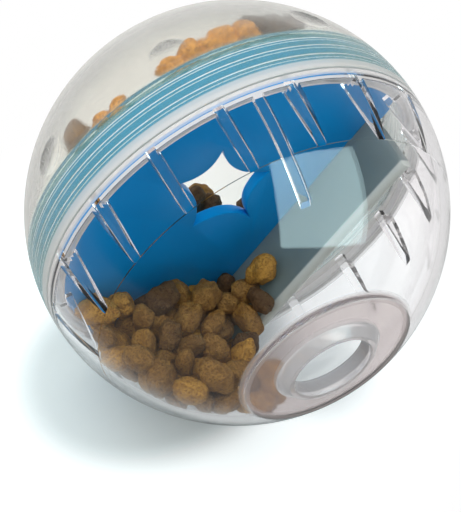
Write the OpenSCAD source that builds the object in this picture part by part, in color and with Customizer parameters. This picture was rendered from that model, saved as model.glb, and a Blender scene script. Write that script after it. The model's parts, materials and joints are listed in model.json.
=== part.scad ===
// Two-part rolling treat ball with a star-holed tray and a dividing wall.
// The origin is the centre of the ball and +Z is up, as it lies on the floor.
// The screw axis lies along Y: the exit is at -Y and the filling half at +Y.
// Every piece is drawn with its height h along the axis, towards the exit,
// and on_axis() then lays it down.

/* [Ball] */
// Outside diameter of the ball
ball_d = 102; // [96:1:130]
// Wall thickness of both halves
shell_wall = 2.4; // [1.8:0.1:3]

/* [Screw joint] */
// Distance of the parting line from the ball's centre, towards the exit
seam_h = 2.4; // [1:0.1:4]
// Open line between the rims of the two halves
seam_gap = 0.3; // [0.2:0.05:0.5]
// Height of the neck, from the parting line to its end
neck_h = 12; // [9:0.5:14]
// Wall thickness of the neck
neck_wall = 1.7; // [1.2:0.1:2.2]
// Wall thickness of the frosted skirt at the parting line
skirt_wall = 2.6; // [2.2:0.1:3]
// Radial room for the thread between neck and skirt
thread_gap = 0.35; // [0.3:0.05:0.6]
// Room between the neck's end and the ledge that it screws up to
end_gap = 0.3; // [0.2:0.05:0.6]
// Thickness of the web that carries the neck
web_t = 1.6; // [1.2:0.1:2.4]

/* [Frosted half] */
// Thickness of the ledge that keeps the tray down
ledge_t = 1.6; // [1:0.1:2.5]
// How far the ledge covers the tray's skirt
ledge_cover = 1; // [0.5:0.1:1.5]
// Number of finger dimples
dimple_count = 8; // [4:1:10]
// Diameter of a finger dimple
dimple_d = 9.4; // [6:0.1:12]
// Radius of the fingertip curve of a dimple
dimple_curve = 20; // [14:1:40]
// Latitude of the dimples, above the ball's centre
dimple_lat = 19; // [18:1:40]
// Angle of the first dimple
dimple_turn = 11; // [0:1:45]

/* [Exit] */
// Diameter of the flat round the exit
flat_d = 42.8; // [34:0.2:48]
// Diameter of the exit hole
exit_d = 19.6; // [14:0.2:20.4]
// Width of the collar's lip at its end
collar_lip = 1.4; // [1:0.1:1.8]
// Width of the collar where it stands on the flat
collar_foot = 3.5; // [2.6:0.1:4.5]
// Height of the collar above the flat
collar_h = 2.6; // [1.5:0.1:3]

/* [Ribs] */
// Number of short ribs under the tray
rib_count = 17; // [12:1:20]
// Thickness of a rib
rib_t = 2.5; // [1.6:0.1:3]
// How far the tray's edge rests on the ribs
rib_cover = 1.5; // [1:0.1:2.5]
// Angle of the first rib
rib_turn = 97.5; // [0:0.5:360]
// Depth of the one long rib
long_rib_depth = 2; // [1:0.1:2.5]
// Distance of the long rib's end from the ball's centre, along the axis
long_rib_h = 28.6; // [22:0.1:32]

/* [Tray] */
// Radial room round the tray in the neck
tray_gap = 0.3; // [0.3:0.05:0.6]
// Thickness of the tray's floor
floor_t = 2.8; // [2:0.1:3.5]
// Wall thickness of the tray's skirt
tray_wall = 1.7; // [1.2:0.1:2.2]
// Floor left behind the dividing wall
floor_edge = 1.5; // [1:0.1:3]
// Half the length of the star hole, to the circle through its tips
star_half_l = 16.8; // [12:0.1:20]
// Half the width of the star hole, to the circle through its tips
star_half_w = 11.6; // [8:0.1:13]
// How deep the sides of the star curve in
star_cut = 3; // [1:0.1:4]
// Distance of the star's middle from the ball's axis
star_off = 16; // [12:0.1:18]
// Direction of the star's middle, from the dividing wall's back
star_side = 148.5; // [120:0.5:200]
// Direction of the star's length
star_turn = 155.5; // [120:0.5:200]

/* [Dividing wall] */
// Distance of the wall's face from the ball's axis
divider_off = 12.3; // [11:0.1:16]
// Height of the wall above the tray
divider_h = 16; // [10:0.5:18]
// Thickness of the wall
divider_t = 3; // [2.4:0.1:3.6]
// Room between the wall's ends and the ribs
divider_end_gap = 2.2; // [1:0.1:5]
// Angle of the wall's back round the axis
divider_turn = -40; // [-180:1:180]
// Length of a fixing tab
tab_w = 8; // [5:0.5:12]
// Thickness of a fixing tab
tab_t = 1.8; // [1.2:0.1:2]
// Distance between the two tabs
tab_pitch = 44; // [30:1:54]
// Room round a tab in its slot
tab_gap = 0.15; // [0.1:0.05:0.3]

/* [Hidden] */
$fn = 96;
// Depth by which joined shapes run into each other, and cuts run past a face
bite = 0.3;

ball_r = ball_d / 2;
inner_r = ball_r - shell_wall;

// Screw joint, from the outside inwards
bore_r = sqrt(pow(ball_r, 2) - pow(seam_h, 2)) - skirt_wall;
neck_r = bore_r - thread_gap;
neck_in_r = neck_r - neck_wall;
tray_r = neck_in_r - tray_gap;
ledge_r = tray_r - ledge_cover;
neck_end_h = seam_h - neck_h;
ledge_h = neck_end_h - end_gap;
rim_h = seam_h + seam_gap;
web_h = rim_h + web_t;

// Exit
flat_h = sqrt(pow(ball_r, 2) - pow(flat_d / 2, 2));
exit_r = exit_d / 2;

// Ribs, and the tray that lies on them
rib_r = tray_r - rib_cover;
rib_tip_h = sqrt(pow(inner_r, 2) - pow(rib_r, 2));
rib_step = 360 / rib_count;
floor_h = seam_h;

// Dividing wall
divider_back = divider_off + divider_t;
divider_top_h = floor_h + divider_h;
long_rib_r = sqrt(pow(inner_r - long_rib_depth, 2) - pow(divider_top_h, 2));
divider_end_r = min(rib_r, long_rib_r) - divider_end_gap;
divider_len = 2 * sqrt(pow(divider_end_r, 2) - pow(divider_back, 2));
tab_mid = divider_off + divider_t / 2;

// Lays a piece that is drawn along the axis on its side, exit towards -Y
module on_axis() {
  rotate([90, 0, 0]) children();
}

// The right half of a circle, the section of a ball
module half_circle(r) {
  intersection() {
    circle(r);
    translate([0, -r]) square([r, 2 * r]);
  }
}

// The part of a ball's section between two heights
module ball_slice(r, from_h, to_h) {
  intersection() {
    half_circle(r);
    translate([0, from_h]) square([r, to_h - from_h]);
  }
}

// Section of the collar round the exit, standing on the flat
module collar_section() {
  polygon([
    [exit_r, flat_h - bite],
    [exit_r + collar_foot, flat_h - bite],
    [exit_r + collar_foot, flat_h],
    [exit_r + collar_lip, flat_h + collar_h],
    [exit_r, flat_h + collar_h]
  ]);
}

// Section of the clear half: bowl, flat, collar, web and neck
module clear_section() {
  difference() {
    union() {
      ball_slice(ball_r, rim_h, flat_h);
      translate([neck_in_r, neck_end_h]) square([neck_wall, web_h - neck_end_h]);
    }
    ball_slice(inner_r, web_h, flat_h - shell_wall);
    translate([0, neck_end_h - bite]) square([neck_in_r, web_h - neck_end_h + 2 * bite]);
    translate([0, flat_h - 2 * shell_wall]) square([exit_r, 2 * shell_wall + bite]);
  }
  collar_section();
}

// Section of a short rib: upright inner edge, outer edge in the bowl's wall
module rib_section() {
  intersection() {
    half_circle(inner_r + bite);
    union() {
      translate([rib_r, floor_h]) square([neck_in_r + bite - rib_r, web_h - floor_h]);
      translate([rib_r, rim_h + bite]) square([ball_r - rib_r, rib_tip_h - rim_h - bite]);
    }
  }
}

// Section of the long rib: an even band along the inside of the bowl
module long_rib_section() {
  difference() {
    ball_slice(inner_r + bite, rim_h + bite, long_rib_h);
    circle(inner_r - long_rib_depth);
  }
}

// A flat rib of the given section, standing out from the axis at an angle
module rib(turn) {
  rotate([0, 0, turn])
    translate([0, rib_t / 2, 0])
      rotate([90, 0, 0])
        linear_extrude(rib_t) children();
}

// Clear half with the exit, the ribs and the threaded neck
module clear_half() {
  color([0.90, 0.92, 0.94, 0.35])
    on_axis() {
      rotate_extrude() clear_section();
      for (i = [0 : rib_count - 1]) rib(rib_turn + i * rib_step) rib_section();
      rib(rib_turn - rib_step / 2) long_rib_section();
    }
}

// Section of the frosted half: bowl, ledge and threaded skirt
module frosted_section() {
  difference() {
    ball_slice(ball_r, -ball_r, seam_h);
    ball_slice(inner_r, -inner_r, ledge_h - ledge_t);
    translate([0, ledge_h - ledge_t - bite]) square([ledge_r, ledge_t + 2 * bite]);
    translate([0, ledge_h]) square([bore_r, seam_h - ledge_h + bite]);
  }
}

// One fingertip dimple, cut so that it is dimple_d wide on the ball
module dimple() {
  half = dimple_d / 2;
  chord_h = sqrt(pow(ball_r, 2) - pow(half, 2));
  translate([chord_h + sqrt(pow(dimple_curve, 2) - pow(half, 2)), 0, 0]) sphere(dimple_curve);
}

// Frosted half with the skirt, the ledge and a ring of finger dimples
module frosted_half() {
  color([0.82, 0.81, 0.78, 0.75])
    on_axis()
      difference() {
        rotate_extrude() frosted_section();
        for (i = [0 : dimple_count - 1])
          rotate([0, 0, dimple_turn + i * 360 / dimple_count])
            rotate([0, dimple_lat, 0]) dimple();
      }
}

// Tip i of the star, about its middle
function star_tip(i) = [star_half_l * cos(180 + 72 * i), star_half_w * sin(180 + 72 * i)];

// Circle through two tips that curves the side between them in by star_cut
module star_side_cut(a, b) {
  side = norm(b - a);
  curve = (pow(side / 2, 2) + pow(star_cut, 2)) / (2 * star_cut);
  out = [b.y - a.y, a.x - b.x] / side;
  translate((a + b) / 2 + out * (curve - star_cut)) circle(curve);
}

// Five-pointed star with curved-in sides, the hole in the tray
module star() {
  difference() {
    polygon([for (i = [0 : 4]) star_tip(i)]);
    for (i = [0 : 4]) star_side_cut(star_tip(i), star_tip(i + 1));
  }
}

// Places what belongs to one of the two fixing tabs
module at_tabs() {
  for (side = [-1, 1]) translate([tab_mid, side * tab_pitch / 2]) children();
}

// Outline of the tray: a disc with one side cut straight behind the wall
module tray_outline(r) {
  intersection() {
    circle(r);
    translate([-ball_r, -ball_r]) square([ball_r + divider_back + floor_edge, ball_d]);
  }
}

// Blue tray: floor with the star hole, and a skirt round its edge
module star_tray() {
  color([0.0, 0.43, 0.74])
    on_axis()
      rotate([0, 0, divider_turn]) {
        translate([0, 0, floor_h - floor_t])
          linear_extrude(floor_t)
            difference() {
              tray_outline(tray_r);
              rotate(star_side) translate([star_off, 0]) rotate(star_turn - star_side) star();
              at_tabs() square([tab_t + 2 * tab_gap, tab_w + 2 * tab_gap], center = true);
            }
        translate([0, 0, neck_end_h])
          linear_extrude(neck_h - floor_t + bite)
            difference() {
              tray_outline(tray_r);
              circle(tray_r - tray_wall);
            }
      }
}

// Milky wall that stands on the tray, with two tabs through its floor
module divider_wall() {
  edge_r = divider_t / 2;
  color([0.86, 0.89, 0.88, 0.85])
    on_axis()
      rotate([0, 0, divider_turn]) {
        translate([divider_off, -divider_len / 2, floor_h])
          cube([divider_t, divider_len, divider_h - edge_r]);
        translate([tab_mid, divider_len / 2, divider_top_h - edge_r])
          rotate([90, 0, 0]) cylinder(r = edge_r, h = divider_len);
        translate([0, 0, floor_h - floor_t])
          linear_extrude(floor_t + bite)
            at_tabs() square([tab_t, tab_w], center = true);
      }
}

clear_half();
frosted_half();
star_tray();
divider_wall();
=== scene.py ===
"""Treat ball: two moulded halves screwed together round a star-holed tray, on a pale floor.

The screw axis is Y. The clear half with the exit looks towards -Y, the frosted half towards +Y.
Sizes are in millimetres and become metres where a mesh is made.
"""
import json
import math

import bmesh
import bpy
import numpy as np
from mathutils import Matrix, Vector, noise


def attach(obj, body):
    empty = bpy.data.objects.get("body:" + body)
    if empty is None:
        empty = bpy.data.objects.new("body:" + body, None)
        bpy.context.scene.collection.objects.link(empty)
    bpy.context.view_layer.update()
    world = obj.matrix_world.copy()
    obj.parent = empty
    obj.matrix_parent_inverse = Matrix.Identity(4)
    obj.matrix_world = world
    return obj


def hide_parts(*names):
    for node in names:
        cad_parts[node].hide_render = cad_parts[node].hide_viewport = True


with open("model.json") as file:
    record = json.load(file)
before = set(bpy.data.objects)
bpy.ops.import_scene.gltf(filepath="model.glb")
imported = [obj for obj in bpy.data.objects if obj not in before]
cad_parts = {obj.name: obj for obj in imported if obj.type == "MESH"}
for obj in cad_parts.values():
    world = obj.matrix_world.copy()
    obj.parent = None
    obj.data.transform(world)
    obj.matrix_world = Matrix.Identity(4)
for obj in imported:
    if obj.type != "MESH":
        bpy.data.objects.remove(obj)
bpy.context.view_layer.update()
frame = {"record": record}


# Clear half: a glossy, see-through injection moulding with the round exit, its collar and flat,
# short ribs that carry the tray, one long rib, a web, and a threaded neck that screws into the
# frosted half. Its rim stops just short of the frosted rim, which leaves the fine seam line.
MM = 0.001
mounts = {mount["name"]: mount for mount in frame["record"]["mounts"]}
ball_r = mounts["cradle"]["dims"]["r_mm"]
exit_r = mounts["exit_hole"]["dims"]["r_mm"]
collar_top = -mounts["collar_end"]["pos_m"][1] / MM
shell_wall = 2.4
inner_r = ball_r - shell_wall
seam = 2.4
seam_gap = 0.3
rim = seam + seam_gap
web_thick = 1.6
web_in = rim + web_thick
skirt_wall = 2.6
bore_r = math.sqrt(ball_r**2 - seam**2) - skirt_wall
thread_gap = 0.35
neck_r = bore_r - thread_gap
neck_wall = 1.7
neck_in_r = neck_r - neck_wall
neck_tall = 12.0
neck_end = seam - neck_tall
tray_gap = 0.3
tray_r = neck_in_r - tray_gap
flat_r = 21.4
flat_ahead = math.sqrt(ball_r**2 - flat_r**2)
collar_foot = 3.5
collar_wall = 1.4
rib_count = 17
rib_turn = 97.5
rib_thick = 2.5
rib_round = 0.4
rib_cover = 1.5
rib_r = tray_r - rib_cover
rib_tip = math.sqrt(inner_r**2 - rib_r**2)
rib_past_tip = 1.2
rib_in_neck = 0.9
rib_steps = 12
long_tall = 2.0
long_in = inner_r - long_tall
long_start = rim + 0.4
long_end = 28.6
long_steps = 24
step_depth = 0.12
round_steps = 288


def place(across, upright, ahead):
    """A point of the ball's drawing, ahead towards the exit, in the frame."""
    return Vector((across, -ahead, upright)) * MM


def around(radius, turn, ahead):
    """The same by radius and by turn round the axis, in degrees from +X to +Z."""
    angle = math.radians(turn)
    return place(radius * math.cos(angle), radius * math.sin(angle), ahead)


def ball_arc(radius, start, end, pitch=1.2):
    """Points on a ball's section between two heights, about pitch apart."""
    first = math.asin(start / radius)
    last = math.asin(end / radius)
    steps = max(2, round(abs(last - first) * radius / pitch))
    angles = [first + (last - first) * step / steps for step in range(steps + 1)]
    return [(radius * math.cos(angle), radius * math.sin(angle)) for angle in angles]


def rounded(corners, steps=4):
    """A closed outline whose corners (x, y, fillet) are replaced by arcs of that fillet."""
    points = []
    for index, corner in enumerate(corners):
        here = Vector(corner[:2])
        if len(corner) < 3:
            points.append(here)
            continue
        before = (Vector(corners[index - 1][:2]) - here).normalized()
        after = (Vector(corners[(index + 1) % len(corners)][:2]) - here).normalized()
        half = before.angle(after) / 2
        centre = here + (before + after).normalized() * (corner[2] / math.sin(half))
        start = here + before * (corner[2] / math.tan(half)) - centre
        end = here + after * (corner[2] / math.tan(half)) - centre
        sweep = math.pi - 2 * half
        for step in range(steps + 1):
            share = step / steps
            away = math.sin((1 - share) * sweep) * start + math.sin(share * sweep) * end
            points.append(centre + away / math.sin(sweep))
    return points


def turned(mesh, profile):
    """Adds a solid of revolution to a bmesh from a closed profile of (radius, ahead) points."""
    rings = []
    for radius, ahead in profile:
        if radius < 1e-6:
            rings.append([mesh.verts.new(place(0, 0, ahead))] * round_steps)
            continue
        turns = [360 * step / round_steps for step in range(round_steps)]
        rings.append([mesh.verts.new(around(radius, turn, ahead)) for turn in turns])
    for ring, following in zip(rings, rings[1:] + rings[:1]):
        for step in range(round_steps):
            corners = (ring[step], ring[step - 1], following[step - 1], following[step])
            face = list(dict.fromkeys(corners))
            if len(face) > 2:
                mesh.faces.new(face)


def swept(mesh, loops):
    """Adds a closed bar to a bmesh: loops of points one after another, with a lid on each end."""
    rings = [[mesh.verts.new(point) for point in loop] for loop in loops]
    for ring, following in zip(rings, rings[1:]):
        for step in range(len(ring)):
            mesh.faces.new((ring[step - 1], ring[step], following[step], following[step - 1]))
    mesh.faces.new(rings[0])
    mesh.faces.new(rings[-1])


def as_object(name, mesh):
    """Puts a bmesh into the scene as an object with outward faces."""
    bmesh.ops.recalc_face_normals(mesh, faces=mesh.faces)
    data = bpy.data.meshes.new(name)
    mesh.to_mesh(data)
    mesh.free()
    piece = bpy.data.objects.new(name, data)
    bpy.context.collection.objects.link(piece)
    return piece


def applied(piece):
    """Writes an object's modifiers into its mesh."""
    graph = bpy.context.evaluated_depsgraph_get()
    data = bpy.data.meshes.new_from_object(piece.evaluated_get(graph))
    piece.modifiers.clear()
    piece.data = data


def combined(piece, tool, operation):
    """Joins a tool to a piece, or cuts it out of the piece, and removes the tool."""
    modifier = piece.modifiers.new("combine", "BOOLEAN")
    modifier.operation = operation
    modifier.solver = "EXACT"
    modifier.object = tool
    applied(piece)
    bpy.data.objects.remove(tool)


def smoothed(piece, angle):
    """Shades a piece smooth, apart from edges sharper than the angle in degrees."""
    piece.data.shade_smooth()
    piece.data.set_sharp_from_angle(angle=math.radians(angle))


def rib_loop(turn, inner, outer, ahead):
    """A rib's cross-section at one height, with both inner corners rounded."""
    half = rib_thick / 2
    corners = [(outer, -half), (inner, -half, rib_round), (inner, half, rib_round), (outer, half)]
    spin = Matrix.Rotation(math.radians(turn), 2)
    return [place(*(spin @ Vector(point)), ahead) for point in rounded(corners)]


def in_wall(ahead):
    """Radius half way into the bowl's wall at one height, where ribs are rooted."""
    return math.sqrt((ball_r - shell_wall / 2) ** 2 - ahead**2)


clear_profile = ball_arc(ball_r, rim, flat_ahead)
clear_profile[0] += (0.3,)
clear_profile[-1] += (1.2,)
clear_profile += [
    (exit_r + collar_foot, flat_ahead, 0.7),
    (exit_r + collar_wall, collar_top, 0.5),
    (exit_r, collar_top, 0.5),
    (exit_r, flat_ahead - shell_wall, 0.9),
]
bowl = ball_arc(inner_r, flat_ahead - shell_wall, rib_tip + 0.3)
bowl[0] += (1.4,)
clear_profile += bowl
# A fine step runs round the bowl at the rib tips.
clear_profile += ball_arc(inner_r, rib_tip + 0.1, rib_tip + 0.09)[:1]
clear_profile += ball_arc(inner_r + step_depth, rib_tip, rib_tip - 0.2)
clear_profile += ball_arc(inner_r + step_depth, rib_tip - 0.4, web_in)[:-1]
clear_profile += [
    (math.sqrt((inner_r + step_depth) ** 2 - web_in**2), web_in, 0.5),
    (neck_in_r, web_in, 0.4),
    (neck_in_r, neck_end, 0.4),
    (neck_r, neck_end, 0.4),
    (neck_r, rim, 0.5),
]
clear_mesh = bmesh.new()
turned(clear_mesh, rounded(clear_profile))
clear_half = as_object("clear_half_moulding", clear_mesh)

ribs = bmesh.new()
root = (rim + web_in) / 2
rib_run = rib_tip + rib_past_tip - root
rib_heights = [root + 0.05 + rib_run * step / rib_steps for step in range(rib_steps + 1)]
for number in range(rib_count):
    turn = rib_turn + number * 360 / rib_count
    loops = [rib_loop(turn, rib_r, neck_in_r + rib_in_neck, ahead) for ahead in (seam, root)]
    loops += [rib_loop(turn, rib_r, in_wall(ahead), ahead) for ahead in rib_heights]
    swept(ribs, loops)

# The long rib follows the bowl and ends square, below the shorter ones.
long_turn = rib_turn - 180 / rib_count
long_loops = []
for step in range(long_steps + 1):
    height = long_start + (long_end - long_start) * step / long_steps
    inner = math.sqrt(long_in**2 - height**2)
    long_loops.append(rib_loop(long_turn, inner, in_wall(height), height))
swept(ribs, long_loops)

# Thread: one low right-handed ridge round the neck, run out at both ends.
thread_pitch = 4.0
thread_turns = 2.1
thread_start = neck_end + 1.4
thread_steps = 152
ridge_tall = 0.26
ridge_foot = 0.8
ridge_top = 0.3
run_out = 2.6
thread_loops = []
for step in range(thread_steps + 1):
    share = step / thread_steps
    height = min(ridge_tall, run_out * share - 0.1, run_out * (1 - share) - 0.1)
    middle = thread_start + thread_pitch * thread_turns * share
    section = [(-0.2, -ridge_foot), (height, -ridge_top), (height, ridge_top), (-0.2, ridge_foot)]
    turn = 360 * thread_turns * share
    thread_loops.append([around(neck_r + out, turn, middle + along) for out, along in section])
swept(ribs, thread_loops)
combined(clear_half, as_object("ribs_and_thread", ribs), "UNION")
smoothed(clear_half, 32)


class Wire:
    """A shader value that can be written into sums; each operation adds its node."""

    def __init__(self, tree, socket=None):
        self.tree = tree
        self.socket = socket

    def node(self, kind, settings=None, sockets=None, out=0):
        """Adds a node, sets its settings, then its sockets, and gives the wire from one output."""
        made = self.tree.nodes.new("ShaderNode" + kind)
        for name, value in (settings or {}).items():
            setattr(made, name, value)
        for name, value in (sockets or {}).items():
            if isinstance(value, Wire):
                self.tree.links.new(value.socket, made.inputs[name])
            else:
                made.inputs[name].default_value = value
        return Wire(self.tree, made.outputs[out] if made.outputs else None)

    def maths(self, operation, first, second):
        """A Math node on two wires or numbers."""
        return self.node("Math", {"operation": operation}, {0: first, 1: second})

    def __add__(self, other):
        return self.maths("ADD", self, other)

    def __radd__(self, other):
        return self.maths("ADD", other, self)

    def __sub__(self, other):
        return self.maths("SUBTRACT", self, other)

    def __rsub__(self, other):
        return self.maths("SUBTRACT", other, self)

    def __mul__(self, other):
        return self.maths("MULTIPLY", self, other)

    def __rmul__(self, other):
        return self.maths("MULTIPLY", other, self)

    def between(self, low, high):
        """0 below low, 1 above high, and a smooth rise from one to the other."""
        return self.node(
            "MapRange",
            {"interpolation_type": "SMOOTHSTEP"},
            {"Value": self, "From Min": low, "From Max": high},
        )

    def blend(self, low, high):
        """The colour low where this wire is 0, and high where it is 1."""
        return self.node("Mix", {"data_type": "RGBA"}, {"Factor": self, 6: low, 7: high}, out=2)

    def bump(self, strength, depth):
        """A normal that treats this wire as height, depth in metres."""
        return self.node("Bump", sockets={"Strength": strength, "Distance": depth, "Height": self})


def material(name):
    """A new empty material, with the wire that its nodes start from."""
    made = bpy.data.materials.new(name)
    made.use_nodes = True
    made.node_tree.nodes.clear()
    return made, Wire(made.node_tree)


def speckle(wire, size, detail=2.0, seed=0.0):
    """Soft noise with spots about size millimetres across, from 0 to 1."""
    spot = wire.node("TexCoord", out="Object")
    sockets = {"Vector": spot, "W": seed, "Scale": 1 / (size * MM), "Detail": detail}
    return wire.node("TexNoise", {"noise_dimensions": "4D"}, sockets, out=0)


def let_light_in(wire, shader, tint):
    """Lets light from lamps and from the pieces inside pass straight through a see-through shell."""
    plain = wire.node("BsdfTransparent", sockets={"Color": tint})
    inside = wire.node("LightPath", out="Is Diffuse Ray")
    lamps = wire.node("LightPath", out="Is Shadow Ray")
    shader = wire.node("MixShader", sockets={"Fac": inside, 1: shader, 2: plain})
    return wire.node("MixShader", sockets={"Fac": lamps, 1: shader, 2: plain})


def dress(piece, made, wire, shader, body, inside=None):
    """Finishes a material, puts it on a piece and lets the piece ride on its body."""
    wire.node("OutputMaterial", sockets={"Surface": shader} | ({"Volume": inside} if inside else {}))
    piece.data.materials.clear()
    piece.data.materials.append(made)
    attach(piece, body)


clear_plastic, wire = material("clear_plastic")
scuffs = speckle(wire, 9.0, detail=6.0).between(0.45, 0.8)
ripple = speckle(wire, 14.0, detail=1.0)
spot = wire.node("TexCoord", out="Object")
ahead = 0 - wire.node("SeparateXYZ", sockets={"Vector": spot}, out="Y")
sideways = wire.node("VectorMath", {"operation": "MULTIPLY"}, {0: spot, 1: (1, 0, 1)})
ring = wire.node("VectorMath", {"operation": "LENGTH"}, {0: sideways}, out="Value")
# The flat and its collar are thick, and look pinkish.
thick_from = flat_ahead - shell_wall - 0.6
near_flat = ahead.between(thick_from * MM, (thick_from + 0.2) * MM)
thick = near_flat * (1 - ring.between((flat_r - 0.6) * MM, flat_r * MM))
collar = thick * (1 - ring.between((exit_r + collar_foot - 0.1) * MM, (exit_r + collar_foot + 0.5) * MM))
# A thin whitish ring of haze at the flat's rim, a painted rim highlight.
brim_glint = ring.between((flat_r - 1.5) * MM, (flat_r - 1.0) * MM)
brim_glint = (brim_glint - ring.between(flat_r * MM, (flat_r + 0.6) * MM)) * near_flat
reach = wire.node("VectorMath", {"operation": "LENGTH"}, {0: spot}, out="Value")
# Between the rim and the step the bowl mirrors little.
heading = wire.node("VectorMath", {"operation": "NORMALIZE"}, {0: spot})
below = 0 - wire.node("SeparateXYZ", sockets={"Vector": heading}, out="Y")
tip_share = rib_tip / inner_r
on_bowl = reach.between((inner_r + 0.03) * MM, (inner_r + 0.06) * MM)
calm = on_bowl * (1 - below.between(tip_share - 0.001, tip_share + 0.001))


def clear_gloss(level):
    """The clear plastic with more or less mirroring on its face."""
    return wire.node(
        "BsdfPrincipled",
        sockets={
            "Base Color": thick.blend((0.995, 0.985, 0.99, 1), (0.88, 0.79, 0.78, 1)),
            "Roughness": scuffs * 0.03 + thick * 0.07 + 0.012,
            "IOR": 1.46,
            "Specular IOR Level": level,
            "Transmission Weight": 1.0,
            "Normal": ripple.bump(0.25, 0.0002),
        },
    )


# Haze: strong on the web, less on the thick flat and the collar, faint on the ribs. A thin ring at the
# flat's rim and the web's inner edge get whitish haze as painted highlights.
cloud_tint = ripple.blend((0.92, 0.91, 0.89, 1), (0.86, 0.85, 0.83, 1))
cloud_tint = thick.blend(cloud_tint, collar.blend((0.72, 0.63, 0.61, 1), (0.84, 0.85, 0.85, 1)))
cloud_shader = wire.node(
    "BsdfPrincipled", sockets={"Base Color": cloud_tint, "Roughness": scuffs * 0.1 + 0.25}
)
web = ahead.between((rim - 0.2) * MM, rim * MM)
web = web * (1 - ahead.between(web_in * MM, (web_in + 0.3) * MM))
web = web * ring.between((neck_in_r - 0.3) * MM, (neck_in_r - 0.1) * MM)
# The web's inner edge: extra whitish haze, a painted edge highlight.
web_edge_glint = web * (1 - ring.between((neck_in_r + 0.4) * MM, (neck_in_r + 0.9) * MM))
on_ribs = 1 - reach.between((inner_r - 0.5) * MM, (inner_r - 0.2) * MM)
on_ribs = on_ribs * (1 - thick) * (1 - web)
quiet = calm + on_ribs * 0.2
clear_shader = wire.node(
    "MixShader", sockets={"Fac": quiet, 1: clear_gloss(0.5), 2: clear_gloss(0.06)}
)
cloudy = web * 0.45 + web_edge_glint * 0.4 + thick * 0.2 + collar * 0.2 + on_ribs * 0.015 + brim_glint * 0.3
clear_shader = wire.node("MixShader", sockets={"Fac": cloudy, 1: clear_shader, 2: cloud_shader})
dress(
    clear_half,
    clear_plastic,
    wire,
    let_light_in(wire, clear_shader, (0.96, 0.955, 0.96, 1)),
    "clear_half",
    inside=wire.node("VolumeAbsorption", sockets={"Color": (0.86, 0.78, 0.81, 1), "Density": 9.0}),
)
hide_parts("clear_half")


# Star tray: an opaque blue moulding that lies on the short ribs inside the neck. It has a skirt
# round its edge, one straight side, and the star hole that kibble drops through.
floor_top = seam
floor_thick = 2.8
tray_wall = 1.7
divider_turn = -40.0
divider_off = 12.3
divider_thick = 3.0
tray_shelf = 1.5
tray_cut = divider_off + divider_thick + tray_shelf
tray_round = 0.3
tray_steps = 240
skirt_root = 0.9
star_points = 5
star_steps = 16
star_half_long = 16.8
star_half_wide = 11.6
star_cut = 3.0
star_off = 16.0
star_side = 148.5
star_turn = 155.5
tab_wide = 8.0
tab_thick = 1.8
tab_pitch = 44.0
tab_gap = 0.15


def plate(name, outlines, start, end, soft):
    """A flat plate between two heights ahead, with rounded edges and the later outlines as holes."""
    flat = bpy.data.curves.new(name, "CURVE")
    flat.dimensions = "2D"
    flat.fill_mode = "BOTH"
    flat.extrude = ((end - start) / 2 - soft) * MM
    flat.bevel_depth = soft * MM
    flat.bevel_resolution = 2
    flat.offset = -soft * MM
    for outline in outlines:
        spline = flat.splines.new("POLY")
        spline.points.add(len(outline) - 1)
        for point, corner in zip(spline.points, outline):
            point.co = (corner[0] * MM, corner[1] * MM, 0, 1)
        spline.use_cyclic_u = True
    drawn = bpy.data.objects.new(name, flat)
    bpy.context.collection.objects.link(drawn)
    mesh = bmesh.new()
    graph = bpy.context.evaluated_depsgraph_get()
    mesh.from_mesh(bpy.data.meshes.new_from_object(drawn.evaluated_get(graph)))
    bpy.data.objects.remove(drawn)
    bmesh.ops.remove_doubles(mesh, verts=mesh.verts, dist=1e-6)
    lift = Matrix.Translation((0, 0, (start + end) / 2 * MM))
    spin = Matrix.Rotation(math.radians(divider_turn), 4, "Z")
    lie = Matrix.Rotation(math.radians(90), 4, "X")
    bmesh.ops.transform(mesh, matrix=lie @ spin @ lift, verts=mesh.verts)
    return mesh


def box_outline(middle, size):
    """Corners of an upright rectangle about its middle."""
    wide, tall = size[0] / 2, size[1] / 2
    signs = [(-1, -1), (1, -1), (1, 1), (-1, 1)]
    return [(middle[0] + x * wide, middle[1] + y * tall) for x, y in signs]


def circle_arc(radius, start, end, steps):
    """Points of an arc about the axis, between two turns in degrees."""
    turns = [math.radians(start + (end - start) * step / steps) for step in range(steps + 1)]
    return [(radius * math.cos(turn), radius * math.sin(turn)) for turn in turns]


star_tips = []
for number in range(star_points):
    angle = math.radians(180 + 360 * number / star_points)
    star_tips.append(Vector((star_half_long * math.cos(angle), star_half_wide * math.sin(angle))))
star = []
for first, second in zip(star_tips, star_tips[1:] + star_tips[:1]):
    side = second - first
    inward = Vector((-side.y, side.x)).normalized()
    for step in range(star_steps):
        share = step / star_steps
        star.append(first + side * share + inward * star_cut * 4 * share * (1 - share))
lean = Matrix.Rotation(math.radians(star_turn), 2)
star_middle = Matrix.Rotation(math.radians(star_side), 2) @ Vector((star_off, 0))
star = [lean @ point + star_middle for point in star]

cut_turn = math.degrees(math.acos(tray_cut / tray_r))
tabs = [(divider_off + divider_thick / 2, side * tab_pitch / 2) for side in (-1, 1)]
slot_size = (tab_thick + 2 * tab_gap, tab_wide + 2 * tab_gap)
floor_outline = circle_arc(tray_r, cut_turn, 360 - cut_turn, tray_steps)
floor_outlines = [floor_outline, star] + [box_outline(tab, slot_size) for tab in tabs]
floor_mesh = plate("floor", floor_outlines, floor_top - floor_thick, floor_top, tray_round)
star_tray = as_object("star_tray_moulding", floor_mesh)
skirt_in = tray_r - tray_wall
skirt_turn = math.degrees(math.acos(tray_cut / skirt_in))
skirt_outline = floor_outline + circle_arc(skirt_in, 360 - skirt_turn, skirt_turn, tray_steps)
skirt_mesh = plate("skirt", [skirt_outline], neck_end, floor_top - skirt_root, tray_round)
combined(star_tray, as_object("skirt", skirt_mesh), "UNION")
smoothed(star_tray, 40)

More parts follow.
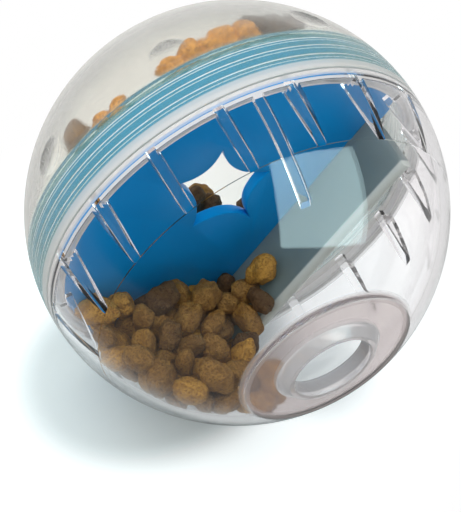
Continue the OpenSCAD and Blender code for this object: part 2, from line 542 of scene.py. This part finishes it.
blue_plastic, wire = material("blue_plastic")
flow = speckle(wire, 22.0, detail=3.0)
grain = speckle(wire, 0.5, detail=3.0)
blue_shader = wire.node(
    "BsdfPrincipled",
    sockets={
        "Base Color": flow.between(0.3, 0.7).blend((0.0, 0.29, 0.73, 1), (0.001, 0.325, 0.79, 1)),
        "Roughness": grain * 0.12 + 0.24,
        "Specular IOR Level": 0.2,
        "Specular Tint": (0.02, 0.40, 0.90, 1),
        "Normal": grain.bump(0.12, 0.00005),
    },
)
dress(star_tray, blue_plastic, wire, blue_shader, "tray")
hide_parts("star_tray")


# Dividing wall: a milky, smooth plate with a round top edge. It stands on the tray and is held by
# two tabs that pass through slots in the floor.
divider_tall = 16.0
divider_gap = 2.2
divider_steps = 24
end_round = 0.3
end_share = 0.9
tab_root = 0.5
tab_round = 0.2
divider_top = floor_top + divider_tall
long_rib_r = math.sqrt(long_in**2 - divider_top**2)
divider_end_r = min(rib_r, long_rib_r) - divider_gap
divider_half = math.sqrt(divider_end_r**2 - (divider_off + divider_thick) ** 2)
wall_section = rounded(
    [
        (divider_off, floor_top, 0.25),
        (divider_off + divider_thick, floor_top, 0.25),
        (divider_off + divider_thick, divider_top, 1.45),
        (divider_off, divider_top, 1.45),
    ],
    steps=8,
)


def along_wall(point, side):
    """A point of the wall's section, side millimetres along the wall."""
    spin = Matrix.Rotation(math.radians(divider_turn), 2)
    return place(*(spin @ Vector((point[0], side))), point[1])


wall_centre = Vector((divider_off + divider_thick / 2, (floor_top + divider_top) / 2))
wall_loops = []
for step in range(-divider_steps, divider_steps + 1):
    side = divider_half * step / divider_steps
    share = end_share if abs(step) == divider_steps else 1.0
    section = [wall_centre + (point - wall_centre) * share for point in wall_section]
    wall_loops.append([along_wall(point, side) for point in section])
    if step in (-divider_steps, divider_steps - 1):
        side = math.copysign(divider_half - end_round, step)
        wall_loops.append([along_wall(point, side) for point in wall_section])
wall_mesh = bmesh.new()
swept(wall_mesh, wall_loops)
divider_wall = as_object("divider_wall_moulding", wall_mesh)
for tab in tabs:
    foot = [box_outline(tab, (tab_thick, tab_wide))]
    tab_mesh = plate("tab", foot, floor_top - floor_thick, floor_top + tab_root, tab_round)
    combined(divider_wall, as_object("tab", tab_mesh), "UNION")
smoothed(divider_wall, 40)

milky_plastic, wire = material("milky_plastic")
cloud = speckle(wire, 16.0, detail=3.0)
spot = wire.node("TexCoord", out="Object")
ahead = 0 - wire.node("SeparateXYZ", sockets={"Vector": spot}, out="Y")
# The wall's face is painted a dark grey-green, the shade it stands in; its round top edge is painted
# pale green-white, as lit from above.
lit_top_edge = ahead.between((divider_top - 2.0) * MM, (divider_top - 1.3) * MM)
milk_in_painted_shade = cloud.between(0.3, 0.7).blend((0.19, 0.265, 0.268, 1), (0.235, 0.315, 0.315, 1))
milky_shader = wire.node(
    "BsdfPrincipled",
    sockets={
        "Base Color": lit_top_edge.blend(milk_in_painted_shade, (0.80, 0.87, 0.80, 1)),
        "Roughness": cloud * 0.1 + 0.3,
        "IOR": 1.47,
        "Transmission Weight": 0.35,
        "Normal": speckle(wire, 0.7).bump(0.1, 0.00005),
    },
)
dress(divider_wall, milky_plastic, wire, milky_shader, "tray")
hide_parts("divider_wall")


# Kibble in the clear half: baked nuggets that have dropped through the star and lie in the bowl
# against the tray and the wall. They are settled one on another as round grains, then given shape,
# and three more lie beside the wall.
heap_count = 98
heap_seed = 11
shade_seed = 4749
smallest, largest = 2.9, 3.9
heap_up = Vector((0.41, 0.06, 0.91)).normalized()
heap_start = Vector((-24.0, -18.0, -16.0))
heap_spread = 14
settle_rounds = 420
settle_sink = 0.22
push_rounds = 4
push_share = 0.3
shapes = 12
wall_angle = math.radians(divider_turn)
wall_normal = np.array([math.cos(wall_angle), 0, math.sin(wall_angle)])
kibble_rng = np.random.default_rng(heap_seed)
golden = (0.54, 0.29, 0.045)
tan = (0.32, 0.17, 0.035)
brown = (0.13, 0.07, 0.025)


def settled(count, radii):
    """Lets grains sink to the low side of the treat chamber and pushes them apart there."""
    spots = np.array(heap_start) + kibble_rng.uniform(-heap_spread, heap_spread, (count, 3))
    sink = -np.array(heap_up) * settle_sink
    pair = radii[:, None] + radii[None]
    for _ in range(settle_rounds):
        spots += sink
        for _ in range(push_rounds):
            gaps = spots[:, None] - spots[None]
            distance = np.linalg.norm(gaps, axis=2) + 1e-6
            overlap = np.clip(pair - distance, 0, None)
            np.fill_diagonal(overlap, 0)
            spots += (gaps / distance[..., None] * overlap[..., None]).sum(1) * push_share
            spots[:, 1] = np.minimum(spots[:, 1], -floor_top - radii)
            past = np.clip(spots @ wall_normal - (divider_off - radii), 0, None)
            spots -= past[:, None] * wall_normal
            ring = np.hypot(spots[:, 0], spots[:, 2])
            room = np.where(-spots[:, 1] < rib_tip, rib_r - radii * 0.95, ball_r)
            squeeze = np.minimum(1, room / ring)
            spots[:, 0] *= squeeze
            spots[:, 2] *= squeeze
            reach = np.linalg.norm(spots, axis=1)
            spots *= np.minimum(1, (inner_r - 0.2 - radii) / reach)[:, None]
    return spots


def nugget():
    """Points and faces of one lumpy nugget about 1 in radius."""
    ball = bmesh.new()
    bmesh.ops.create_icosphere(ball, subdivisions=4, radius=1.0)
    seed = Vector(kibble_rng.uniform(-50, 50, 3))
    stretch = Vector((0.82, 0.94, 1.34)) + Vector(kibble_rng.uniform(-0.1, 0.12, 3))
    for vert in ball.verts:
        way = vert.co.normalized()
        lump = 0.24 * noise.noise(way * 1.1 + seed) + 0.12 * noise.noise(way * 2.4 + seed)
        crust = 0.04 * noise.noise(way * 4.0 + seed) + 0.03 * noise.noise(way * 13.0 + seed)
        vert.co = way * stretch * (1.02 + lump + crust)
    points = np.array([vert.co[:] for vert in ball.verts])
    faces = np.array([[vert.index for vert in face.verts] for face in ball.faces])
    ball.free()
    return points, faces


nuggets = [nugget() for _ in range(shapes)]


def kept_clear(points):
    """Flattens nuggets in the clear half where they lie on the bowl, the tray or the wall."""
    points[:, 1] = np.minimum(points[:, 1], -floor_top - 0.1)
    past = np.clip(points @ wall_normal - (divider_off - 0.1), 0, None)
    past[-points[:, 1] > divider_top] = 0
    return kept_in_ball(points - past[:, None] * wall_normal)


def kept_in_ball(points):
    """Flattens nuggets where they lie on the inside of the ball."""
    reach = np.linalg.norm(points, axis=1)
    return points * np.minimum(1, (inner_r - 0.15) / reach)[:, None]


def kibble_piece(name, grains, body, kept):
    """One object for a group of nuggets, each given as (spot, radius, colour)."""
    points, faces, shades = [], [], []
    for spot, radius, shade in grains:
        shape, sides = nuggets[kibble_rng.integers(len(nuggets))]
        angle = kibble_rng.uniform(0, math.tau)
        spin = Matrix.Rotation(angle, 3, Vector(kibble_rng.normal(size=3)))
        faces.append(sides + sum(map(len, points)))
        points.append(kept(shape @ np.array(spin) * radius + np.array(spot)) * MM)
        shades.append(np.tile((*shade, 1), (len(shape), 1)))
    data = bpy.data.meshes.new(name)
    data.from_pydata(np.concatenate(points), [], np.concatenate(faces))
    tint = data.attributes.new("tint", "FLOAT_COLOR", "POINT")
    tint.data.foreach_set("color", np.concatenate(shades).ravel())
    piece = bpy.data.objects.new(name, data)
    bpy.context.collection.objects.link(piece)
    data.shade_smooth()
    made, wire = material(name)
    base = wire.node("Attribute", {"attribute_name": "tint"})
    toast = speckle(wire, 2.2, detail=4.0).between(0.4, 0.7)
    crumb = speckle(wire, 0.5, detail=4.0)
    pits = crumb.between(0.3, 0.55)
    darker = wire.node("VectorMath", {"operation": "MULTIPLY"}, {0: base, 1: (0.62, 0.56, 0.50)})
    # Darker in the bump's low spots: painted shade in the pits.
    hollow = wire.node("VectorMath", {"operation": "MULTIPLY"}, {0: base, 1: (0.55, 0.47, 0.40)})
    shader = wire.node(
        "BsdfPrincipled",
        sockets={
            "Base Color": pits.blend(hollow, toast.blend(base, darker)),
            "Roughness": crumb * 0.25 + 0.55,
            "Specular IOR Level": 0.25,
            "Normal": (pits + crumb).bump(0.8, 0.0003),
        },
    )
    dress(piece, made, wire, shader, body)


heap_radii = kibble_rng.uniform(smallest, largest, heap_count)
heap_spots = settled(heap_count, heap_radii)
heap_shades = []
mixes = [(golden, tan), (tan, tan), (tan, brown), (golden, golden), (brown, brown)]
mix_ends = [0.28, 0.54, 0.74, 0.90]
for pick, share in np.random.default_rng(shade_seed).uniform(size=(heap_count, 2)):
    first, second = mixes[np.searchsorted(mix_ends, pick)]
    heap_shades.append(tuple(Vector(first).lerp(Vector(second), share)))
beside_wall = [
    ((-3.0, -11.0, -17.2), 3.3, tan),
    ((-1.6, -15.9, -15.6), 2.9, brown),
    ((1.4, -10.4, -12.0), 3.5, golden),
]
heap = list(zip(heap_spots, heap_radii, heap_shades)) + beside_wall
kibble_piece("kibble_in_clear_half", heap, "tray", kept_clear)


# Frosted half: a grained, translucent moulding with the threaded skirt, an inner ledge that keeps
# the tray down on its ribs, and a ring of shallow finger dimples. It screws onto the neck.
ledge_gap = 0.3
ledge = neck_end - ledge_gap
ledge_thick = 1.6
ledge_cover = 1.0
ledge_r = tray_r - ledge_cover
dimple_count = 8
dimple_wide = 9.4
dimple_curve = 20.0
dimple_lat = 19.0
dimple_turn = 11.0
line_depth = 0.15
line_half = 0.25
line_lats = (-8.6, -5.6, -2.2)

# The outside is the ball's own section, with a fine groove at each line of the band.
outer = []
edges = [math.asin(seam / ball_r)]
for lat in sorted(line_lats, reverse=True):
    middle = math.radians(lat)
    half = line_half / ball_r
    edges += [middle + half, middle - half]
edges.append(-math.pi / 2)
for index in range(0, len(edges), 2):
    outer += ball_arc(ball_r, ball_r * math.sin(edges[index]), ball_r * math.sin(edges[index + 1]))
    if index + 2 < len(edges):
        middle = (edges[index + 1] + edges[index + 2]) / 2
        groove = ball_r - line_depth
        outer.append((groove * math.cos(middle), groove * math.sin(middle)))
outer[0] += (0.35,)
outer[-1] = (0.0, -ball_r)
hollow = ball_arc(inner_r, -inner_r, ledge - ledge_thick)
hollow[0] = (0.0, -inner_r)
hollow[-1] += (0.4,)
frosted_profile = outer + hollow
frosted_profile += [
    (ledge_r, ledge - ledge_thick, 0.4),
    (ledge_r, ledge, 0.4),
    (bore_r, ledge, 0.4),
    (bore_r, seam, 0.35),
]
frosted_mesh = bmesh.new()
turned(frosted_mesh, rounded(frosted_profile))
frosted_half = as_object("frosted_half_moulding", frosted_mesh)
dimple_half = dimple_wide / 2
dimple_out = math.sqrt(ball_r**2 - dimple_half**2) + math.sqrt(dimple_curve**2 - dimple_half**2)
fingertip = bmesh.new()
bmesh.ops.create_uvsphere(fingertip, u_segments=144, v_segments=72, radius=dimple_curve * MM)
fingertip_data = bpy.data.meshes.new("fingertip")
fingertip.to_mesh(fingertip_data)
dimples = bmesh.new()
for number in range(dimple_count):
    turn = dimple_turn + number * 360 / dimple_count
    lat = math.radians(dimple_lat)
    middle = around(dimple_out * math.cos(lat), turn, -dimple_out * math.sin(lat))
    dimples.from_mesh(fingertip_data)
    dimples.verts.ensure_lookup_table()
    bmesh.ops.translate(dimples, verts=dimples.verts[-len(fingertip.verts) :], vec=middle)
combined(frosted_half, as_object("dimples", dimples), "DIFFERENCE")
smoothed(frosted_half, 25)

frosted_plastic, wire = material("frosted_plastic")
haze = speckle(wire, 18.0, detail=3.0)
sparkle = speckle(wire, 0.45, detail=2.0)
spot = wire.node("TexCoord", out="Object")
height = wire.node("SeparateXYZ", sockets={"Vector": spot}, out="Y")
dome_from, dome_full = 9.5, 12.5
dome = height.between(dome_from * MM, dome_full * MM)
frosted_glass = wire.node(
    "BsdfPrincipled",
    sockets={
        "Base Color": haze.between(0.3, 0.7).blend((0.915, 0.90, 0.85, 1), (0.965, 0.95, 0.90, 1)),
        "Roughness": sparkle * 0.10 + dome * 0.06 + 0.07,
        "IOR": 1.45,
        "Specular IOR Level": 0.2,
        "Transmission Weight": 1.0,
        "Normal": sparkle.bump(0.35, 0.0001),
    },
)
# The three lines of the band are painted white, as glints on the crests of its fine grooves.
painted_line_glints = 0.0
for lat in line_lats:
    past_line = height + ball_r * MM * math.sin(math.radians(lat))
    off = wire.node("Math", {"operation": "ABSOLUTE"}, {0: past_line})
    painted_line_glints = (1 - off.between(0.08 * MM, 0.22 * MM)) + painted_line_glints
beige = haze.between(0.3, 0.7).blend((0.82, 0.805, 0.75, 1), (0.88, 0.865, 0.81, 1))
lip = 1 - height.between(-0.2 * MM, 0.4 * MM)
# On the band the milk is painted cyan, for the blue light of the tray inside that shows through it.
band = dome.blend(lip.blend((0.12, 0.37, 0.385, 1), (0.74, 0.74, 0.71, 1)), beige)
frosted_milk = wire.node(
    "BsdfPrincipled",
    sockets={
        "Base Color": painted_line_glints.blend(band, (0.94, 0.96, 0.97, 1)),
        "Roughness": sparkle * 0.2 + 0.45,
        "Specular IOR Level": 0.3,
        "Normal": sparkle.bump(0.5, 0.0001),
    },
)
edge_on = wire.node("LayerWeight", sockets={"Blend": 0.5}, out="Facing").between(0.60, 0.98)
milkiness = dome * edge_on * 0.6 + (1 - dome) * 0.32 + lip * 0.3 + painted_line_glints * 0.36 + sparkle * 0.04
milkiness = wire.node("Clamp", sockets={"Value": milkiness})
frosted_shader = wire.node(
    "MixShader", sockets={"Fac": milkiness, 1: frosted_glass, 2: frosted_milk}
)
dress(
    frosted_half,
    frosted_plastic,
    wire,
    let_light_in(wire, frosted_shader, (0.97, 0.965, 0.95, 1)),
    "frosted_half",
)
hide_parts("frosted_half")


# Kibble in the frosted half: a row of nuggets against the shell beside the tray, three behind the
# star and a small heap on the low side. They turn and lift off with the frosted half.
lean_reach = inner_r - 0.2
low_r = 5.2
# The amber nuggets are golden painted brighter, as lit, for those that lean on the frosted shell.
lit_amber = (0.95, 0.43, 0.05)
behind_star = [
    ((-8.0, 7.7, 0.6), 3.3, brown),
    ((-4.7, 4.9, -0.9), 3.4, brown),
    ((6.7, 6.1, -10.4), 3.2, brown),
]
leaning = [
    (139.5, 16.6, 4.0, tan),
    (127, 12.9, 2.4, lit_amber),
    (121, 12.9, 2.5, lit_amber),
    (101, 14.6, 3.3, lit_amber),
    (95, 15.4, 3.7, lit_amber),
    (88.5, 16.4, 4.1, lit_amber),
    (82, 16.8, 4.2, lit_amber),
    (75.5, 16.4, 4.0, lit_amber),
    (72, 17.4, 4.2, brown),
    (66, 17.0, 4.2, brown),
    (60, 16.4, 4.0, brown),
]
on_low_side = [
    (252.0, 17.0, 43.0, tan),
    (266.0, 17.5, 43.0, golden),
    (281.0, 17.0, 43.0, brown),
    (259.0, 27.0, 43.0, golden),
    (274.0, 27.0, 43.0, tan),
    (264.0, 19.0, 34.0, brown),
]
store = list(behind_star)
for turn, behind, radius, shade in leaning:
    out = math.sqrt((lean_reach - radius) ** 2 - behind**2)
    store.append((around(out, turn, -behind) / MM, radius, shade))
for turn, behind, depth, shade in on_low_side:
    out = math.sqrt(depth**2 - behind**2)
    store.append((around(out, turn, -behind) / MM, low_r, shade))
kibble_piece("kibble_in_frosted_half", store, "frosted_half", kept_in_ball)


# Studio: a pale floor that fades into a white surround, with a painted shadow round the ball on top of
# the lamps' own, one soft lamp at the front right that mirrors in the clear bowl, and a large soft lamp
# above. In the bowl's gloss the floor and the surround are darker than they look straight on, so that
# the plastic keeps its contrast.
floor_z = -ball_r * MM
floor_reach = 3.0
shade_middle = (-0.024, 0.0, 0.0)
shade_stretch = (0.77, 1.0, 0.0)
shadow_spot_middle = (0.014, -0.023, floor_z)
to_front = (-0.453, -0.891, 0)
ground = bpy.data.meshes.new("floor")
ground_mesh = bmesh.new()
lower = Matrix.Translation((0, 0, floor_z))
bmesh.ops.create_circle(ground_mesh, cap_ends=True, segments=96, radius=floor_reach, matrix=lower)
ground_mesh.to_mesh(ground)
ground_mesh.free()
studio_floor = bpy.data.objects.new("floor", ground)
bpy.context.collection.objects.link(studio_floor)

floor_paint, wire = material("floor_paint")
paper = speckle(wire, 3.0, detail=4.0)
paper_tint = paper.blend((0.81, 0.91, 0.91, 1), (0.83, 0.93, 0.93, 1))
lit = wire.node("BsdfDiffuse", sockets={"Color": paper_tint})
spot = wire.node("TexCoord", out="Object")
away = wire.node("VectorMath", {"operation": "SUBTRACT"}, {0: spot, 1: shade_middle})
away = wire.node("VectorMath", {"operation": "MULTIPLY"}, {0: away, 1: shade_stretch})
far = wire.node("VectorMath", {"operation": "LENGTH"}, {0: away}, out="Value")
seen = wire.node("LightPath", out="Is Camera Ray") + wire.node("LightPath", out="Is Transmission Ray")
# The floor glows less near the ball and least under the exit: a painted shadow added to the lamps' own.
near = wire.node("VectorMath", {"operation": "DISTANCE"}, {0: spot, 1: shadow_spot_middle}, out="Value")
glow = far.between(0.022, 0.034) * (near.between(0.006, 0.018) * 0.8 + 0.2) * seen * 0.45
glow = wire.node("Emission", sockets={"Strength": glow})
lit = wire.node("AddShader", sockets={0: lit, 1: glow})
dim = wire.node("BsdfDiffuse", sockets={"Color": (0.1, 0.1, 0.1, 1)})
once = wire.node("LightPath", out="Glossy Depth").between(0.4, 0.6)
again = wire.node("LightPath", out="Glossy Depth").between(1.4, 1.6)
deep = wire.node("LightPath", out="Transmission Depth").between(2.4, 2.6)
mirrored = once * (1 - again) * (1 - deep)
bounce = wire.node("LightPath", out="Is Diffuse Ray")
white = wire.node("Emission", sockets={"Color": (1, 1, 1, 1), "Strength": 1 - bounce * 0.35})
fade = wire.node("MixShader", sockets={"Fac": far.between(0.032, 0.08), 1: lit, 2: white})
front = wire.node("VectorMath", {"operation": "DOT_PRODUCT"}, {0: spot, 1: to_front}, out="Value")
dimmed = mirrored * (front.between(0.02, 0.08) * 0.6 + 0.3)
fade = wire.node("MixShader", sockets={"Fac": dimmed, 1: fade, 2: dim})
wire.node("OutputMaterial", sockets={"Surface": fade})
ground.materials.append(floor_paint)

surround = bpy.data.worlds.new("surround")
surround.use_nodes = True
surround.node_tree.nodes.clear()
bpy.context.scene.world = surround
wire = Wire(surround.node_tree)
fill_low, fill_high = 0.14, 0.85
bounced = wire.node("LightPath", out="Glossy Depth").between(0.4, 0.6)
scattered = wire.node("LightPath", out="Diffuse Depth").between(0.4, 0.6)
through = (1 - bounced) * (1 - scattered) * wire.node("LightPath", out="Is Transmission Ray")
through = through + wire.node("LightPath", out="Is Camera Ray")
mirrored = bounced * (1 - scattered)
heading = wire.node("TexCoord", out="Generated")
behind_ball = wire.node(
    "VectorMath", {"operation": "DOT_PRODUCT"}, {0: heading, 1: (0.262, 0.515, -0.816)}, out="Value"
).between(-0.3, 0.35)
overhead = wire.node(
    "VectorMath", {"operation": "DOT_PRODUCT"}, {0: heading, 1: (-0.15, 0.7, 0.7)}, out="Value"
).between(-0.4, 0.8)
fill = overhead * (fill_high - fill_low) + fill_low
deep = wire.node("LightPath", out="Transmission Depth").between(2.4, 2.6)
again = wire.node("LightPath", out="Glossy Depth").between(1.4, 1.6)
often = 1 - (1 - deep) * (1 - again)
entered = wire.node("LightPath", out="Transmission Depth").between(0.4, 0.6)
gleam = behind_ball * 0.40 + often * 0.50 + entered * 0.03 + 0.012
fill = (1 - mirrored) * fill + mirrored * gleam
brightness = (1 - through) * fill + through
background = wire.node(
    "Background", sockets={"Color": (0.97, 0.985, 1.0, 1), "Strength": brightness}
)
wire.node("OutputWorld", sockets={"Surface": background})


def softbox(name, towards, edge, wide, tall, away, radiance, tint, mirrored):
    """A rectangular lamp in a direction from the ball, one edge along edge, facing the ball.

    Its width and height are shares of its distance. It shows in gloss and glass only if mirrored,
    and lights plain surfaces only if not.
    """
    lamp = bpy.data.lights.new(name, "AREA")
    lamp.shape = "RECTANGLE"
    lamp.color = tint
    lamp.size = wide * away
    lamp.size_y = tall * away
    lamp.energy = radiance * math.pi * lamp.size * lamp.size_y
    towards = Vector(towards).normalized()
    side = (Vector(edge) - towards * towards.dot(Vector(edge))).normalized()
    turn = Matrix((side, towards.cross(side), towards)).transposed()
    stand = bpy.data.objects.new(name, lamp)
    stand.matrix_world = Matrix.Translation(towards * away) @ turn.to_4x4()
    stand.visible_camera = False
    stand.visible_diffuse = not mirrored
    stand.visible_glossy = mirrored
    stand.visible_transmission = mirrored
    bpy.context.collection.objects.link(stand)


softbox(
    "front_lamp",
    towards=(0.434, -0.605, 0.675),
    edge=(0.838, 0.113, -0.534),
    wide=0.84,
    tall=0.78,
    away=0.22,
    radiance=4.25,
    tint=(0.70, 0.976, 1),
    mirrored=True,
)
softbox(
    "top_lamp",
    towards=(-0.1, -0.1, 0.99),
    edge=(1, 0, 0),
    wide=1.1,
    tall=1.1,
    away=0.9,
    radiance=1.7,
    tint=(1, 1, 1),
    mirrored=False,
)


# Camera: the photograph's angle, from the front left and well above, with a long lens. The ball
# sits above the middle of the picture, by so many pixels right and up.
image_tall = 512
focal_pixels = 2122.0
camera_away = 510.0
azimuth = math.radians(-27.0)
elevation = math.radians(54.7)
level = math.cos(elevation)
back = Vector((math.sin(azimuth) * level, -math.cos(azimuth) * level, math.sin(elevation)))
right = Vector((math.cos(azimuth), math.sin(azimuth), 0))
up = back.cross(right)
pixel = camera_away / focal_pixels
ball_right, ball_up = 6.5, 43.0
aim = (-right * ball_right - up * ball_up) * pixel
lens = bpy.data.cameras.new("camera")
lens.lens = lens.sensor_width * focal_pixels / image_tall
camera = bpy.data.objects.new("camera", lens)
camera.location = back * camera_away * MM
camera.rotation_euler = (aim - back * camera_away).to_track_quat("-Z", "Y").to_euler()
bpy.context.collection.objects.link(camera)
bpy.context.scene.camera = camera
bpy.context.scene.view_settings.view_transform = "Standard"
